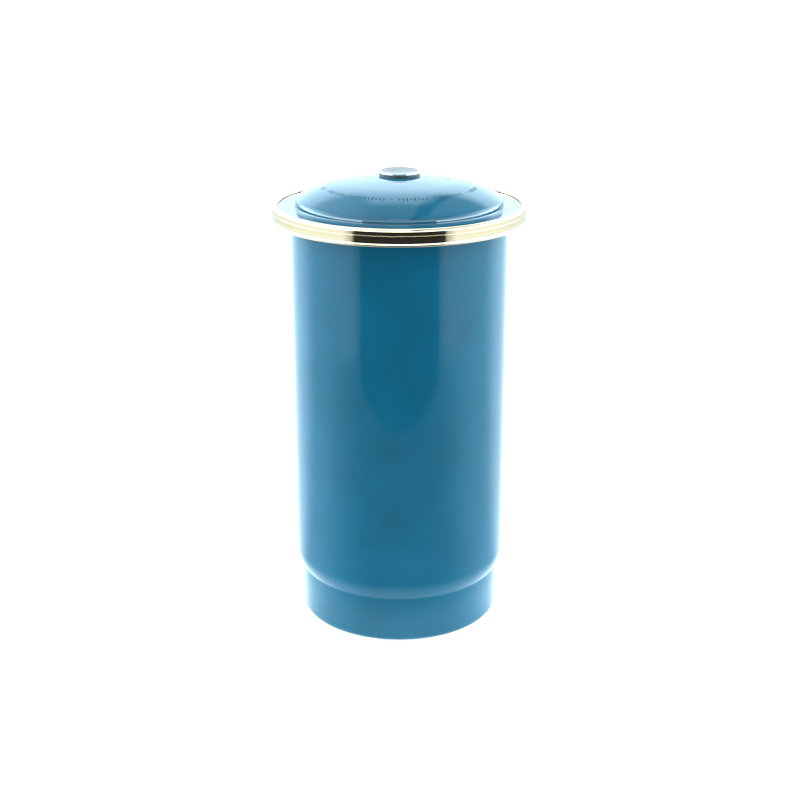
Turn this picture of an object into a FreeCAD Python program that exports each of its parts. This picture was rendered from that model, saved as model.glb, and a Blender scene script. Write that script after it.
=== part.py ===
"""Coffee percolator: an enamelled can with a brass-clad mouth, a domed lid and a pump with its basket.

Millimetres, +Z up. The origin is the centre of the flat ring that the can stands on.
Every sub-part is turned about the Z axis, apart from its holes, its slots and the hexagon nut.
"""
import FreeCAD, Part
import math
import os
import Sketcher

SIZES = {
    # can: drawn steel with its enamel
    "body_radius": 50.0,
    "vessel_wall": 1.0,
    "mouth_height": 197.4,
    "flange_bend": 1.5,
    "hem_bend": 0.4,
    "foot_height": 22.0,
    "foot_corner": 2.5,
    "neck_fillet": 1.8,
    "shoulder_radius": 16.0,
    "shoulder_angle": 30.0,
    "base_recess": 0.8,
    "recess_bend": 1.6,
    "rest_ring_width": 5.0,
    # brass bands clad round the mouth and the lid
    "band_overhang": 8.4,
    "band_sheet": 0.6,
    "band_lip_width": 4.3,
    "mouth_band_height": 5.0,
    "lid_band_height": 2.9,
    "lid_band_width": 2.3,
    "band_corner": 0.15,
    "lid_band_foot_bend": 0.1,
    "bead_bend": 0.3,
    "bead_leg": 0.5,
    "lid_band_top_corner": 1.3,
    "lid_band_inner_corner": 0.8,
    # lid: pressed steel with its enamel
    "lid_sheet": 0.8,
    "dome_height": 14.2,
    "dome_setback": 0.7,
    "crown_radius": 180.0,
    "dome_shoulder_angle": 35.0,
    "dome_edge_radius": 3.5,
    "dome_wall_angle": 85.0,
    "dome_wall": 0.58,
    "dome_root_radius": 1.5,
    "lid_edge_bend": 0.2,
    "lid_edge_leg": 0.2,
    "vent_radius": 0.6,
    "vent_across": 22.0,
    "vent_forward": 6.0,
    # collar and seal under the lid
    "collar_sheet": 0.6,
    "collar_depth": 11.5,
    "collar_bend": 0.8,
    "collar_lead_angle": 15.0,
    "collar_lead_radius": 3.0,
    "collar_lead_length": 1.5,
    "gasket_width": 2.2,
    # knob
    "knob_radius": 9.6,
    "knob_cap_height": 0.95,
    "knob_rim_width": 0.8,
    "knob_dish": 0.45,
    "knob_dish_radius": 110.0,
    "grommet_height": 0.95,
    "grommet_setback": 0.3,
    "stud_radius": 2.0,
    "stud_head_radius": 5.0,
    "stud_head_height": 0.6,
    "stud_tail": 1.5,
    "washer_radius": 4.5,
    "washer_height": 0.8,
    "nut_across_flats": 7.0,
    "nut_height": 3.2,
    # pump
    "tube_radius": 4.5,
    "tube_sheet": 0.6,
    "tube_drop": 10.9,
    "notch_width": 1.6,
    "notch_height": 3.0,
    "tube_notches": 4,
    "bell_clearance": 15.0,
    "bell_sheet": 0.8,
    "bell_skirt": 3.0,
    "bell_turn": 75.0,
    "bell_shoulder_radius": 8.0,
    "bell_neck_radius": 5.0,
    "bell_neck_height": 6.0,
    "bell_slot_radius": 2.2,
    "bell_slots": 8,
    "cage_radius": 8.0,
    "cage_sheet": 0.6,
    "cage_lift": 2.4,
    "cage_height": 10.8,
    "inlet_radius": 3.2,
    "seat_width": 1.4,
    "seat_height": 0.8,
    "disc_radius": 5.6,
    "disc_height": 0.8,
    "valve_travel": 2.5,
    # basket
    "stop_radius": 8.0,
    "stop_height": 2.5,
    "stop_drop": 79.4,
    "basket_clearance": 12.0,
    "basket_sheet": 0.7,
    "basket_depth": 54.0,
    "basket_corner": 4.0,
    "basket_roll": 0.5,
    "basket_hem": 0.8,
    "sleeve_sheet": 0.6,
    "sleeve_flange": 2.2,
    # spreader
    "spreader_sheet": 0.7,
    "spreader_sink": 2.5,
    "spreader_bend": 1.5,
    "spreader_turn": 60.0,
    "spreader_gap": 0.5,
    "ferrule_sheet": 0.7,
    "ferrule_height": 5.0,
    "ferrule_flange": 2.4,
    # perforations
    "hole_radius": 0.9,
    "hole_pitch": 4.2,
    "hole_from_flange": 1.8,
    "hole_from_bend": 0.9,
    # clearances
    "clad_gap": 0.1,
    "swage_gap": 0.05,
    "slide_gap": 0.35,
    "collar_gap": 0.4,
    "seal_gap": 0.05,
    "stud_gap": 0.2,
    "stop_gap": 0.3,
    # edge rounds
    "edge_round": 0.2,
    "large_round": 0.4,
    # how far a cut starts and ends outside the metal
    "cut_margin": 1.0,
}

PLACE_TOLERANCE = 1e-4      # mm, for finding an edge by its place
VOLUME_TOLERANCE = 1e-6     # mm3, for telling that a cut has taken metal away


class Size:
    """A size as its number and as the expression that the document keeps for it."""

    def __init__(self, value, text=None):
        self.value = float(value)
        self.text = text if text else "(%r)" % self.value

    def __add__(self, other):
        other = as_size(other)
        return Size(self.value + other.value, "(%s + %s)" % (self.text, other.text))

    def __sub__(self, other):
        other = as_size(other)
        return Size(self.value - other.value, "(%s - %s)" % (self.text, other.text))

    def __mul__(self, other):
        other = as_size(other)
        return Size(self.value * other.value, "(%s * %s)" % (self.text, other.text))

    def __truediv__(self, other):
        other = as_size(other)
        return Size(self.value / other.value, "(%s / %s)" % (self.text, other.text))


def as_size(number):
    """A plain number as a Size; a Size stays as it is."""
    return number if isinstance(number, Size) else Size(number)


def sine(angle):
    angle = as_size(angle)
    return Size(math.sin(math.radians(angle.value)), "sin(%s * 1 deg)" % angle.text)


def cosine(angle):
    angle = as_size(angle)
    return Size(math.cos(math.radians(angle.value)), "cos(%s * 1 deg)" % angle.text)


def arc_cosine(ratio):
    """The angle in degrees that has this cosine."""
    return Size(math.degrees(math.acos(ratio.value)), "(acos(%s) / 1 deg)" % ratio.text)


def arc_sine(ratio):
    """The angle in degrees that has this sine."""
    return Size(math.degrees(math.asin(ratio.value)), "(asin(%s) / 1 deg)" % ratio.text)


def sag(sphere_radius, reach):
    """How far a sphere drops below its top at this distance from the axis."""
    slope = arc_sine(reach / sphere_radius)
    return sphere_radius - sphere_radius * cosine(slope)


def mid(first, second):
    return (first + second) / 2


doc = FreeCAD.newDocument("percolator")
sheet = doc.addObject("Spreadsheet::Sheet", "sizes")
for row, (alias, number) in enumerate(SIZES.items(), start=1):
    sheet.set("A%d" % row, alias)
    sheet.set("B%d" % row, str(number))
    sheet.setAlias("B%d" % row, alias)
doc.recompute()
places = doc.addObject("Spreadsheet::Sheet", "places")

pieces = []


def size(alias):
    return Size(SIZES[alias], "sizes.%s" % alias)


def worked_out(row, alias, length):
    """A size kept in a formula cell of its own, so that others can name it."""
    places.set("A%d" % row, alias)
    places.set("B%d" % row, "=" + length.text)
    places.setAlias("B%d" % row, alias)
    doc.recompute()
    return Size(length.value, "places.%s" % alias)


# ---- places that several sub-parts share ----

FOOT_DROP = (size("shoulder_radius") + size("neck_fillet")) * (Size(1) - cosine(size("shoulder_angle")))
FOOT_RADIUS = size("body_radius") - FOOT_DROP
VESSEL_BORE = size("body_radius") - size("vessel_wall")
BAND_RADIUS = size("body_radius") + size("band_overhang")
BELL_RADIUS = VESSEL_BORE - size("bell_clearance")
BASKET_RADIUS = VESSEL_BORE - size("basket_clearance")
FLOOR_TOP = size("base_recess") + size("vessel_wall")
LID_SEAT = size("mouth_height") + size("band_sheet")
LID_UNDERSIDE = LID_SEAT + size("collar_sheet")
TROUGH_FLOOR = LID_UNDERSIDE + size("lid_sheet")
DOME_TOP = TROUGH_FLOOR + size("dome_height")
CLAD_RADIUS = BAND_RADIUS - size("band_sheet") - size("clad_gap")
BEAD_LEVEL = LID_SEAT - size("mouth_band_height") + size("bead_bend") + size("band_sheet")
LIP_INNER = BAND_RADIUS - size("band_lip_width")
COLLAR_FLANGE_RADIUS = LIP_INNER - size("stop_gap")
COLLAR_RADIUS = VESSEL_BORE - size("collar_gap")
STUD_HOLE = size("stud_radius") + size("stud_gap")
KNOB_SEAT = DOME_TOP + size("grommet_height")
CAGE_BOTTOM = FLOOR_TOP + size("cage_lift")
SEAT_BOTTOM = CAGE_BOTTOM + size("cage_sheet")
DISC_BOTTOM = SEAT_BOTTOM + size("seat_height")
TUBE_BOTTOM = DISC_BOTTOM + size("disc_height") + size("valve_travel") + size("stop_gap")
TUBE_TOP = size("mouth_height") - size("tube_drop")
TUBE_BORE = size("tube_radius") - size("tube_sheet")
ON_TUBE = size("tube_radius") + size("swage_gap")
PAST_TUBE = size("tube_radius") + size("slide_gap")
STOP_BOTTOM = size("mouth_height") - size("stop_drop")
SLEEVE_BOTTOM = STOP_BOTTOM + size("stop_height")
BASKET_BOTTOM = SLEEVE_BOTTOM + size("sleeve_sheet")
SLEEVE_RADIUS = PAST_TUBE + size("sleeve_sheet")
ROLL_RADIUS = size("basket_roll") + size("basket_sheet")
BASKET_TOP = BASKET_BOTTOM + size("basket_depth") + ROLL_RADIUS
SPREADER_BOTTOM = BASKET_TOP - size("spreader_sink")
SPREADER_TOP = SPREADER_BOTTOM + size("spreader_sheet")
FERRULE_RADIUS = PAST_TUBE + size("ferrule_sheet")
FERRULE_BOTTOM = SPREADER_BOTTOM - size("spreader_sheet")
SLEEVE_TOP = FERRULE_BOTTOM - size("spreader_gap")
HEXAGON = 6


def dome_form():
    """Radius of the dome's shoulder, and the slope in degrees where the crown meets it.

    The crown and the shoulder are arcs that meet without a crease. Together they span what the
    dome's width and height leave above its edge, its short wall and its root.
    """
    crown = size("crown_radius")
    edge = size("dome_edge_radius")
    root = size("dome_root_radius")
    lean = size("dome_shoulder_angle")
    steep = size("dome_wall_angle")
    edge_run = edge * (sine(steep) - sine(lean))
    edge_drop = edge * (cosine(lean) - cosine(steep))
    wall_run = size("dome_wall") * cosine(steep)
    wall_drop = size("dome_wall") * sine(steep)
    root_run = root * sine(steep)
    root_drop = root - root * cosine(steep)
    span = size("body_radius") - size("dome_setback") - edge_run - wall_run - root_run
    drop = size("dome_height") - edge_drop - wall_drop - root_drop
    below = crown - drop
    excess = crown * crown - span * span - below * below
    shoulder = excess / ((crown - span * sine(lean) - below * cosine(lean)) * 2)
    shoulder = worked_out(1, "dome_shoulder_radius", shoulder)
    slope = arc_sine((span - shoulder * sine(lean)) / (crown - shoulder))
    return shoulder, worked_out(2, "crown_slope", slope)


# ---- outlines ----

class SheetPath:
    """One face of a bent sheet in section, walked from its first edge to its last.

    Straights and tangent bends follow one another, and the heading is in degrees from the
    outward radius towards +Z. outline() adds the sheet's other face at its thickness, on the
    left of the walk, or on the right where the thickness is given as negative.
    """

    def __init__(self, radius, height, heading):
        self.stations = [(as_size(radius), as_size(height), as_size(heading))]
        self.bends = []

    def straight(self, length):
        radius, height, heading = self.stations[-1]
        self.stations.append((radius + length * cosine(heading), height + length * sine(heading), heading))
        self.bends.append(None)
        return self

    def bend(self, bend_radius, turn):
        """Turn by less than 180 degrees, left where positive, round this radius."""
        radius, height, heading = self.stations[-1]
        turn = as_size(turn)
        bend_radius = as_size(bend_radius)
        side = 1 if turn.value > 0 else -1
        ahead = heading + turn
        radius = radius + bend_radius * (sine(ahead) - sine(heading)) * side
        height = height + bend_radius * (cosine(heading) - cosine(ahead)) * side
        self.stations.append((radius, height, ahead))
        self.bends.append((bend_radius, side))
        return self

    def out_to(self, radius):
        """Go straight until this distance from the axis."""
        here, _, heading = self.stations[-1]
        return self.straight((as_size(radius) - here) / cosine(heading))

    def up_to(self, height):
        """Go straight until this height."""
        _, here, heading = self.stations[-1]
        return self.straight((as_size(height) - here) / sine(heading))

    def outline(self, thickness):
        """Corners of the closed section, each with the bend that leads to the next corner."""
        near = []
        far = []
        for radius, height, heading in self.stations:
            near.append((radius, height))
            far.append((radius - thickness * sine(heading), height + thickness * cosine(heading)))
        corners = []
        for place, bend in zip(near, self.bends + [None]):
            corners.append((place[0], place[1], bend))
        back = [None]
        for bend in reversed(self.bends):
            back.append((bend[0] - thickness * bend[1], -bend[1]) if bend else None)
        back = back[1:] + [None]
        for place, bend in zip(reversed(far), back):
            corners.append((place[0], place[1], bend))
        return corners


def ring_outline(inner, outer, bottom, top):
    """A rectangular section."""
    return [(inner, bottom, None), (outer, bottom, None), (outer, top, None), (inner, top, None)]


def arc_between(start, end, bend_radius, side):
    """The short arc from start to end, turning left where side is 1, and whether it runs anticlockwise."""
    chord = end - start
    half = chord.Length / 2
    rise = math.sqrt(max(bend_radius ** 2 - half ** 2, 0.0))
    normal = FreeCAD.Vector(-chord.y, chord.x, 0) / chord.Length
    centre = (start + end) / 2 + normal * rise * side
    first, last = (start, end) if side > 0 else (end, start)
    from_angle = math.atan2(first.y - centre.y, first.x - centre.x)
    to_angle = math.atan2(last.y - centre.y, last.x - centre.x)
    if to_angle < from_angle:
        to_angle += 2 * math.pi
    circle = Part.Circle(centre, FreeCAD.Vector(0, 0, 1), bend_radius)
    return Part.ArcOfCircle(circle, from_angle, to_angle)


# ---- features ----

def origin_feature(body, role):
    """A plane or axis of the body's own origin."""
    for feature in body.Origin.OriginFeatures:
        if feature.Role == role:
            return feature
    raise RuntimeError("no %s in %s" % (role, body.Label))


def new_sketch(body, name, role):
    sketch = body.newObject("Sketcher::SketchObject", name)
    sketch.AttachmentSupport = [(origin_feature(body, role), "")]
    sketch.MapMode = "FlatFace"
    return sketch


def bind(sketch, constraint, length):
    """Add a constraint and tie its value to the length's expression."""
    index = sketch.addConstraint(constraint)
    sketch.setExpression("Constraints[%d]" % index, length.text)


def place_point(sketch, geometry, point, across, along):
    """Hold a point at these two distances from the sketch's origin."""
    for kind, distance, axis in (("DistanceX", across, -2), ("DistanceY", along, -1)):
        if distance.value == 0:
            sketch.addConstraint(Sketcher.Constraint("PointOnObject", geometry, point, axis))
        else:
            bind(sketch, Sketcher.Constraint(kind, -1, 1, geometry, point, distance.value), distance)


def draw_outline(sketch, corners):
    """Lines and arcs through the corners, each corner and each radius bound to its size."""
    ends = []
    places = [FreeCAD.Vector(across.value, along.value, 0) for across, along, _ in corners]
    for number, (_, _, bend) in enumerate(corners):
        start = places[number]
        end = places[(number + 1) % len(corners)]
        if bend is None:
            index = sketch.addGeometry(Part.LineSegment(start, end), False)
            ends.append((index, 1, 2))
        else:
            index = sketch.addGeometry(arc_between(start, end, bend[0].value, bend[1]), False)
            ends.append((index, 1, 2) if bend[1] > 0 else (index, 2, 1))
            bind(sketch, Sketcher.Constraint("Radius", index, bend[0].value), bend[0])
    for number, (across, along, _) in enumerate(corners):
        index, first, _ = ends[number]
        before, _, last = ends[number - 1]
        sketch.addConstraint(Sketcher.Constraint("Coincident", before, last, index, first))
        place_point(sketch, index, first, across, along)


def keep(piece):
    """List a finished sub-part for the check and the export."""
    pieces.append(piece)
    return piece


def turned(label, corners):
    """A body made by turning a closed outline about Z."""
    body = doc.addObject("PartDesign::Body", label)
    sketch = new_sketch(body, label + "_section", "XZ_Plane")
    draw_outline(sketch, corners)
    revolution = body.newObject("PartDesign::Revolution", label + "_turn")
    revolution.Profile = sketch
    revolution.ReferenceAxis = (sketch, ["V_Axis"])
    revolution.Angle = 360
    doc.recompute()
    return keep(body)


def round_edges(body, name, radius, places):
    """Round the circular edges that lie at these distances from the axis and heights."""
    found = []
    for across, height in places:
        for number, edge in enumerate(body.Shape.Edges, start=1):
            if edge.Degenerated or not isinstance(edge.Curve, Part.Circle):
                continue
            centre = edge.Curve.Center
            off = abs(edge.Curve.Radius - across.value) + abs(centre.z - height.value)
            if off + math.hypot(centre.x, centre.y) < PLACE_TOLERANCE:
                found.append("Edge%d" % number)
    if len(found) != len(places):
        raise RuntimeError("%s: %d of %d edges found" % (name, len(found), len(places)))
    base = body.Tip
    fillet = body.newObject("PartDesign::Fillet", name)
    fillet.Base = (base, found)
    fillet.setExpression("Radius", radius.text)
    body.Tip = fillet
    doc.recompute()


def cut_pattern(body, name, sketch, depth, count):
    """Pocket a sketch and repeat it evenly about Z; the cut has to take material away."""
    before = body.Shape.Volume
    pocket = body.newObject("PartDesign::Pocket", name + "_cut")
    pocket.Profile = sketch
    pocket.Type = "Length"
    pocket.setExpression("Length", depth.text)
    body.Tip = pocket
    doc.recompute()
    if body.Shape.Volume >= before - VOLUME_TOLERANCE:
        raise RuntimeError("%s cuts nothing" % name)
    if count > 1:
        once = body.Shape.Volume
        pattern = body.newObject("PartDesign::PolarPattern", name + "_ring")
        pattern.Originals = [pocket]
        pattern.Axis = (origin_feature(body, "Z_Axis"), [""])
        pattern.Angle = 360
        pattern.Occurrences = count
        body.Tip = pattern
        doc.recompute()
        if body.Shape.Volume >= once - VOLUME_TOLERANCE:
            raise RuntimeError("%s is not repeated" % name)


def drill(body, name, across, along, radius, top, depth, count=1):
    """Holes down from a height, repeated about Z."""
    sketch = new_sketch(body, name + "_sketch", "XY_Plane")
    sketch.setExpression("AttachmentOffset.Base.z", top.text)
    centre = FreeCAD.Vector(across.value, along.value, 0)
    index = sketch.addGeometry(Part.Circle(centre, FreeCAD.Vector(0, 0, 1), radius.value), False)
    bind(sketch, Sketcher.Constraint("Radius", index, radius.value), radius)
    place_point(sketch, index, 3, across, along)
    cut_pattern(body, name, sketch, depth, count)


def perforate(body, name, first, last, bottom, thick):
    """Rings of small holes through a floor, between two distances from the axis.

    The rings are one pitch apart, and the holes of each ring about as much.
    """
    pitch = SIZES["hole_pitch"]
    top = bottom + thick + size("cut_margin")
    depth = thick + size("cut_margin") * 2
    rings = int((last.value - first.value) / pitch) + 1
    for ring in range(rings):
        across = first + size("hole_pitch") * ring
        count = int(2 * math.pi * across.value / pitch)
        drill(body, "%s_%d" % (name, ring), across, Size(0), size("hole_radius"), top, depth, count)


# ---- can ----

def vessel_can():
    """Deep-drawn can: recessed base, necked foot, straight wall and a flange hemmed downwards."""
    wall = size("vessel_wall")
    step = size("base_recess") / (size("recess_bend") * 2)
    recess_turn = arc_cosine(Size(1) - step)
    ring_outer = FOOT_RADIUS - size("foot_corner")
    path = SheetPath(0, size("base_recess"), 0)
    path.out_to(ring_outer - size("rest_ring_width") - size("recess_bend") * sine(recess_turn) * 2)
    path.bend(size("recess_bend"), recess_turn * -1)
    path.bend(size("recess_bend"), recess_turn)
    path.out_to(ring_outer)
    path.bend(size("foot_corner"), 90)
    path.up_to(size("foot_height"))
    path.bend(size("neck_fillet"), size("shoulder_angle") * -1)
    path.bend(size("shoulder_radius"), size("shoulder_angle"))
    path.up_to(size("mouth_height") - wall - size("flange_bend"))
    path.bend(size("flange_bend"), -90)
    path.out_to(CLAD_RADIUS - wall - size("hem_bend"))
    path.bend(size("hem_bend"), -90)
    path.up_to(BEAD_LEVEL + size("bead_leg") + size("stop_gap"))
    return turned("vessel_can", path.outline(wall))


def mouth_band():
    """Brass band over the flange, with its lower edge curled into a bead."""
    path = SheetPath(LIP_INNER, size("mouth_height"), 0)
    path.out_to(BAND_RADIUS - size("band_sheet") - size("band_corner"))
    path.bend(size("band_corner"), -90)
    path.up_to(BEAD_LEVEL)
    path.bend(size("bead_bend"), -90)
    path.bend(size("bead_bend"), -90)
    path.straight(size("bead_leg"))
    return turned("mouth_band", path.outline(size("band_sheet")))


# ---- lid ----

def lid_dome():
    """Domed lid with a trough round it, a turned-up edge, a stud hole and a vent hole."""
    thick = size("lid_sheet")
    start_angle = arc_sine(STUD_HOLE / size("crown_radius"))
    shoulder_radius, crown_slope = dome_form()
    path = SheetPath(STUD_HOLE, DOME_TOP - sag(size("crown_radius"), STUD_HOLE), start_angle * -1)
    path.bend(size("crown_radius"), start_angle - crown_slope)
    path.bend(shoulder_radius, crown_slope - size("dome_shoulder_angle"))
    path.bend(size("dome_edge_radius"), size("dome_shoulder_angle") - size("dome_wall_angle"))
    path.straight(size("dome_wall"))
    path.bend(size("dome_root_radius"), size("dome_wall_angle"))
    path.out_to(CLAD_RADIUS - thick - size("lid_edge_bend"))
    path.bend(size("lid_edge_bend"), 90)
    path.straight(size("lid_edge_leg"))
    body = turned("lid_dome", path.outline(thick * -1))
    drill(body, "vent", size("vent_across"), size("vent_forward") * -1, size("vent_radius"),
          DOME_TOP, size("dome_height"))
    return body


def lid_band():
    """Brass band crimped round the lid's edge, resting on the mouth band."""
    top = LID_SEAT + size("lid_band_height")
    path = SheetPath(LIP_INNER, LID_SEAT, 0)
    outer_corner = size("band_sheet") + size("lid_band_foot_bend")
    path.out_to(BAND_RADIUS - outer_corner)
    path.bend(outer_corner, 90)
    path.up_to(top - size("lid_band_top_corner"))
    path.bend(size("lid_band_top_corner"), 90)
    path.out_to(BAND_RADIUS - size("lid_band_width") + size("lid_band_inner_corner"))
    path.bend(size("lid_band_inner_corner"), 90)
    path.up_to(TROUGH_FLOOR + size("swage_gap"))
    return turned("lid_band", path.outline(size("band_sheet")))


def lid_collar():
    """Locating collar under the lid, with a flange welded to the trough and a drawn-in lower edge."""
    lead = size("collar_lead_angle")
    lead_rise = size("collar_lead_radius") * sine(lead) + size("collar_lead_length") * cosine(lead)
    path = SheetPath(COLLAR_FLANGE_RADIUS, LID_SEAT, 180)
    path.out_to(COLLAR_RADIUS + size("collar_bend"))
    path.bend(size("collar_bend"), 90)
    path.up_to(LID_SEAT - size("collar_depth") + lead_rise)
    path.bend(size("collar_lead_radius"), lead * -1)
    path.straight(size("collar_lead_length"))
    return turned("lid_collar", path.outline(size("collar_sheet") * -1))


def lid_gasket():
    """Flat seal under the collar's flange, against the can's mouth."""
    inner = COLLAR_FLANGE_RADIUS - size("gasket_width")
    bottom = size("mouth_height") + size("seal_gap")
    return turned("lid_gasket", ring_outline(inner, COLLAR_FLANGE_RADIUS, bottom, LID_SEAT))


# ---- knob ----

def knob_cap():
    """Low disc with a dished top inside a flat rim."""
    top = KNOB_SEAT + size("knob_cap_height")
    rim = size("knob_radius") - size("knob_rim_width")
    dish_floor = top - size("knob_dish")
    wall_bottom = dish_floor + sag(size("knob_dish_radius"), rim)
    corners = [
        (Size(0), KNOB_SEAT, None),
        (size("knob_radius"), KNOB_SEAT, None),
        (size("knob_radius"), top, None),
        (rim, top, None),
        (rim, wall_bottom, (size("knob_dish_radius"), -1)),
        (Size(0), dish_floor, None),
    ]
    body = turned("knob_cap", corners)
    round_edges(body, "knob_rim_round", size("edge_round"), [(size("knob_radius"), top)])
    return body


def knob_grommet():
    """Rubber ring between the cap and the dome, recessed for the stud's head."""
    outer = size("knob_radius") - size("grommet_setback")
    recess = size("stud_head_radius") + size("stud_gap")
    head_bottom = KNOB_SEAT - size("stud_head_height")
    crown = size("crown_radius")
    corners = [
        (STUD_HOLE, DOME_TOP - sag(crown, STUD_HOLE), (crown, -1)),
        (outer, DOME_TOP - sag(crown, outer), None),
        (outer, KNOB_SEAT, None),
        (recess, KNOB_SEAT, None),
        (recess, head_bottom, None),
        (STUD_HOLE, head_bottom, None),
    ]
    return turned("knob_grommet", corners)


def knob_places():
    """Heights of the washer's top, the nut's top, the nut's bottom and the stud's end."""
    inner_crown = size("crown_radius") - size("lid_sheet")
    washer_top = DOME_TOP - size("lid_sheet") - sag(inner_crown, size("washer_radius"))
    nut_top = washer_top - size("washer_height")
    nut_bottom = nut_top - size("nut_height")
    return washer_top, nut_top, nut_bottom, nut_bottom - size("stud_tail")


def knob_stud():
    """Stud welded under the cap, down through the dome."""
    head_bottom = KNOB_SEAT - size("stud_head_height")
    end = knob_places()[3]
    corners = [
        (Size(0), end, None),
        (size("stud_radius"), end, None),
        (size("stud_radius"), head_bottom, None),
        (size("stud_head_radius"), head_bottom, None),
        (size("stud_head_radius"), KNOB_SEAT, None),
        (Size(0), KNOB_SEAT, None),
    ]
    body = turned("knob_stud", corners)
    round_edges(body, "stud_end_round", size("large_round"), [(size("stud_radius"), end)])
    return body


def knob_washer():
    """Plain washer under the dome."""
    washer_top, nut_top, _, _ = knob_places()
    return turned("knob_washer", ring_outline(STUD_HOLE, size("washer_radius"), nut_top, washer_top))


def knob_nut():
    """Hexagon nut with chamfered corners, its thread left as a plain bore."""
    _, nut_top, nut_bottom, _ = knob_places()
    half_flats = size("nut_across_flats") / 2
    corner_radius = half_flats / cosine(180 / HEXAGON)
    blank = doc.addObject("Part::Prism", "nut_blank")
    blank.Polygon = HEXAGON
    blank.setExpression("Circumradius", corner_radius.text)
    blank.setExpression("Height", size("nut_height").text)
    cone = doc.addObject("Part::Cone", "nut_chamfer")
    cone.setExpression("Radius1", mid(half_flats, corner_radius).text)
    cone.setExpression("Radius2", (mid(half_flats, corner_radius) + size("nut_height")).text)
    cone.setExpression("Height", size("nut_height").text)
    cornered = doc.addObject("Part::Common", "nut_cornered")
    cornered.Base = blank
    cornered.Tool = cone
    bore = doc.addObject("Part::Cylinder", "nut_bore")
    bore.setExpression("Radius", (size("stud_radius") + size("swage_gap")).text)
    bore.setExpression("Height", size("nut_height").text)
    nut = doc.addObject("Part::Cut", "knob_nut")
    nut.Base = cornered
    nut.Tool = bore
    for solid in (blank, cone, bore):
        solid.setExpression("Placement.Base.z", nut_bottom.text)
    doc.recompute()
    return keep(nut)


# ---- pump ----

def pump_tube():
    """Riser tube, notched at its lower end so that the lifted disc can't close it."""
    body = turned("pump_tube", ring_outline(TUBE_BORE, size("tube_radius"), TUBE_BOTTOM, TUBE_TOP))
    sketch = new_sketch(body, "notch_sketch", "YZ_Plane")
    half = size("notch_width") / 2
    low = TUBE_BOTTOM - size("cut_margin")
    high = TUBE_BOTTOM + size("notch_height")
    corners = [(half * -1, low, None), (half, low, None), (half, high, None), (half * -1, high, None)]
    draw_outline(sketch, corners)
    depth = size("tube_radius") + size("cut_margin")
    cut_pattern(body, "notch", sketch, depth, SIZES["tube_notches"])
    return body


def pump_bell():
    """Bell foot that stands on the can's floor, with water slots round its rim."""
    thick = size("bell_sheet")
    path = SheetPath(BELL_RADIUS, FLOOR_TOP, 90)
    path.straight(size("bell_skirt"))
    path.bend(size("bell_shoulder_radius"), size("bell_turn"))
    neck_drop = size("bell_neck_radius") * (Size(1) - cosine(size("bell_turn")))
    path.out_to(ON_TUBE + thick + neck_drop)
    path.bend(size("bell_neck_radius"), size("bell_turn") * -1)
    path.straight(size("bell_neck_height"))
    body = turned("pump_bell", path.outline(thick))
    sketch = new_sketch(body, "bell_slot_sketch", "YZ_Plane")
    sketch.setExpression("AttachmentOffset.Base.z", (BELL_RADIUS + size("cut_margin")).text)
    radius = size("bell_slot_radius")
    centre = FreeCAD.Vector(0, FLOOR_TOP.value, 0)
    index = sketch.addGeometry(Part.Circle(centre, FreeCAD.Vector(0, 0, 1), radius.value), False)
    bind(sketch, Sketcher.Constraint("Radius", index, radius.value), radius)
    place_point(sketch, index, 3, Size(0), FLOOR_TOP)
    depth = thick + size("cut_margin") * 2
    cut_pattern(body, "bell_slot", sketch, depth, SIZES["bell_slots"])
    return body


def valve_cage():
    """Closed cup on the tube's lower end, with the water inlet in its floor."""
    radius = size("cage_radius")
    sheet_size = size("cage_sheet")
    top = CAGE_BOTTOM + size("cage_height")
    corners = [
        (size("inlet_radius"), CAGE_BOTTOM, None),
        (radius, CAGE_BOTTOM, None),
        (radius, top, None),
        (ON_TUBE, top, None),
        (ON_TUBE, top - sheet_size, None),
        (radius - sheet_size, top - sheet_size, None),
        (radius - sheet_size, SEAT_BOTTOM, None),
        (size("inlet_radius"), SEAT_BOTTOM, None),
    ]
    body = turned("valve_cage", corners)
    round_edges(body, "cage_round", size("large_round"), [(radius, CAGE_BOTTOM), (radius, top)])
    return body


def valve_seat():
    """Raised seat round the inlet."""
    outer = size("inlet_radius") + size("seat_width")
    return turned("valve_seat", ring_outline(size("inlet_radius"), outer, SEAT_BOTTOM, DISC_BOTTOM))


def valve_disc():
    """Loose disc that closes the inlet by its own weight."""
    radius = size("disc_radius")
    top = DISC_BOTTOM + size("disc_height")
    corners = [
        (Size(0), DISC_BOTTOM, None),
        (radius, DISC_BOTTOM, None),
        (radius, top, None),
        (Size(0), top, None),
    ]
    body = turned("valve_disc", corners)
    round_edges(body, "disc_round", size("edge_round"), [(radius, DISC_BOTTOM), (radius, top)])
    return body


def basket_stop():
    """Ring fixed on the tube, which carries the basket."""
    radius = size("stop_radius")
    body = turned("basket_stop", ring_outline(ON_TUBE, radius, STOP_BOTTOM, SLEEVE_BOTTOM))
    places = [(radius, STOP_BOTTOM), (radius, SLEEVE_BOTTOM)]
    round_edges(body, "stop_round", size("large_round"), places)
    return body


# ---- basket and spreader ----

def basket_cup():
    """Perforated cup with a rolled rim."""
    thick = size("basket_sheet")
    path = SheetPath(SLEEVE_RADIUS + size("swage_gap"), BASKET_BOTTOM, 0)
    path.out_to(BASKET_RADIUS - size("basket_corner"))
    path.bend(size("basket_corner"), 90)
    path.up_to(BASKET_BOTTOM + size("basket_depth"))
    path.bend(size("basket_roll"), -90)
    path.bend(size("basket_roll"), -90)
    path.straight(size("basket_hem"))
    body = turned("basket_cup", path.outline(thick))
    first = SLEEVE_RADIUS + size("sleeve_flange") + size("hole_from_flange") + size("hole_radius")
    last = BASKET_RADIUS - size("basket_corner") - size("hole_from_bend") - size("hole_radius")
    perforate(body, "basket_hole", first, last, BASKET_BOTTOM, thick)
    return body


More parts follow.
